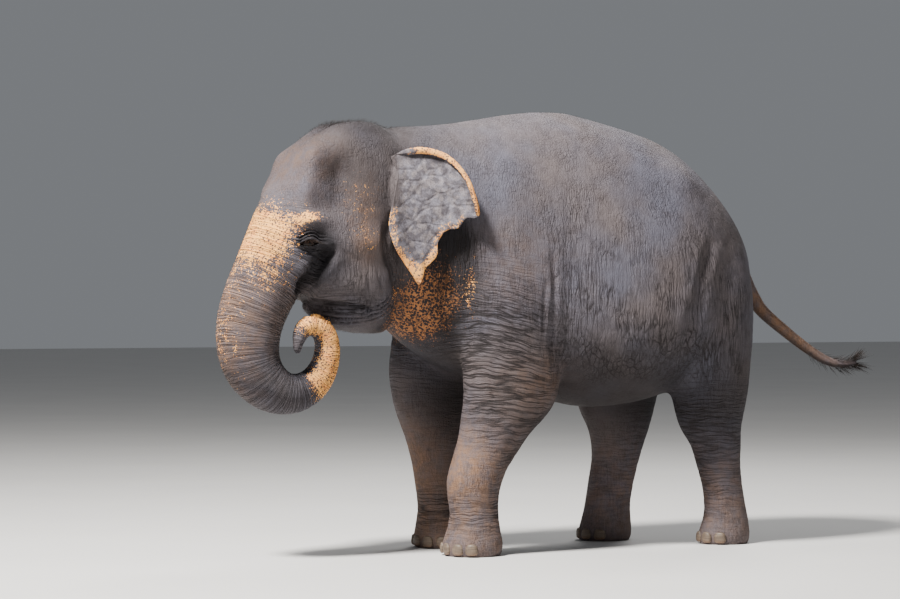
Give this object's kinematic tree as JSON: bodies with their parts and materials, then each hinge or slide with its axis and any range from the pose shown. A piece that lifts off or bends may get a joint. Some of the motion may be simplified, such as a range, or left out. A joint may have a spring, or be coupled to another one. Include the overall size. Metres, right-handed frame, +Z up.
{
  "type": "asian elephant",
  "caption": "Life-size standing Asian elephant cow, a still museum-type model with its trunk curled up to the mouth, ears laid back and tail swung out behind.",
  "frame": {"origin": "centre of the bounding box on the floor, between the feet", "axes": "+Z up, the animal faces -Y, its left side towards +X"},
  "size_m": [1.1264, 3.9266, 2.3867],
  "materials": {
    "elephant_skin": "matt, dry and wrinkled",
    "ear_skin": "matt, thin and softly folded",
    "eye": "wet gloss",
    "toenail": "worn horn"
  },
  "bodies": {
    "root": {"head": "elephant_skin", "neck": "elephant_skin", "torso": "elephant_skin", "trunk_upper": "elephant_skin", "trunk_middle": "elephant_skin", "trunk_lower": "elephant_skin", "trunk_tip": "elephant_skin", "leg_front_left": "elephant_skin", "leg_front_right": "elephant_skin", "leg_hind_left": "elephant_skin", "leg_hind_right": "elephant_skin", "tail": "elephant_skin", "ear_left": "ear_skin", "ear_right": "ear_skin", "eye_left": "eye", "eye_right": "eye", "nail_front_left_1": "toenail", "nail_front_left_2": "toenail", "nail_front_left_3": "toenail", "nail_front_left_4": "toenail", "nail_front_left_5": "toenail", "nail_front_right_1": "toenail", "nail_front_right_2": "toenail", "nail_front_right_3": "toenail", "nail_front_right_4": "toenail", "nail_front_right_5": "toenail", "nail_hind_left_1": "toenail", "nail_hind_left_2": "toenail", "nail_hind_left_3": "toenail", "nail_hind_left_4": "toenail", "nail_hind_right_1": "toenail", "nail_hind_right_2": "toenail", "nail_hind_right_3": "toenail", "nail_hind_right_4": "toenail"}
  },
  "joints": []
}
